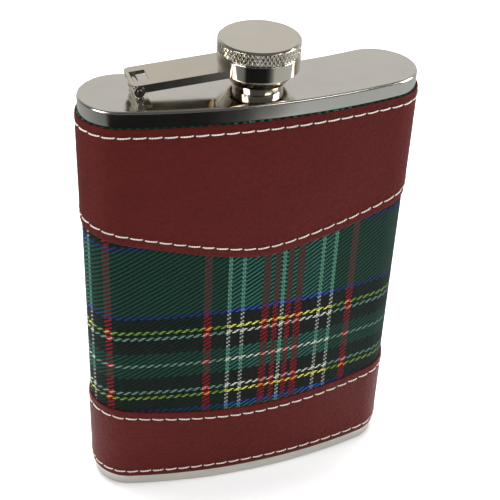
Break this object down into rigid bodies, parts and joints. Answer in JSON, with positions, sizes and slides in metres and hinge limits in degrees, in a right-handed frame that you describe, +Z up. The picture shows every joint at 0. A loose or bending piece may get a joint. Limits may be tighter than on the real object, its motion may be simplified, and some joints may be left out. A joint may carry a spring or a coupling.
{
  "type": "hip flask",
  "caption": "Curved steel hip flask wrapped in tartan cloth with stitched leather bands, and a knurled screw cap held on a hinged arm.",
  "frame": {"origin": "centre of the body's bounding box in plan, on the base it stands on", "axes": "+Z up through the neck, the bowed front faces -Y, +X along the width away from the cap's hinge"},
  "size_m": [0.0962, 0.0288, 0.1448],
  "materials": {
    "polished_steel": "mirror polished stainless steel",
    "body_steel": "plain stainless steel sheet, hidden under the wrap",
    "leather": "smooth burgundy leather with a fine grain",
    "cloth": "green twill-woven tartan with black, red, yellow, white and blue lines",
    "thread": "ivory sewing thread",
    "seal": "pale seal disc"
  },
  "bodies": {
    "flask": {"body_wall": "body_steel", "top_plate": "polished_steel", "base_plate": "polished_steel", "neck": "polished_steel", "tartan_wrap": "cloth", "leather_top_band": "leather", "leather_bottom_band": "leather", "top_band_upper_stitching": "thread", "top_band_lower_stitching": "thread", "bottom_band_upper_stitching": "thread", "bottom_band_lower_stitching": "thread", "hinge_base": "polished_steel", "lower_pin": "polished_steel"},
    "link": {"link": "polished_steel"},
    "arm": {"arm": "polished_steel", "arm_collar": "polished_steel", "upper_pin": "polished_steel"},
    "cap": {"cap_head": "polished_steel", "cap_hub": "polished_steel", "cap_retaining_ring": "polished_steel", "cap_seal": "seal"}
  },
  "joints": [
    {"name": "link_pivot", "type": "hinge", "parent": "flask", "child": "link", "pos_m": [-0.0325, -0.00202, 0.1328], "axis": [0, -1, 0], "range_deg": [0, 60]},
    {"name": "arm_pivot", "type": "hinge", "parent": "link", "child": "arm", "pos_m": [-0.0328, -0.00202, 0.1353], "axis": [0, -1, 0], "range_deg": [0, 95]},
    {"name": "cap_spin", "type": "hinge", "parent": "arm", "child": "cap", "pos_m": [0, -0.00202, 0.1388], "axis": [0, 0, 1], "continuous": true}
  ]
}
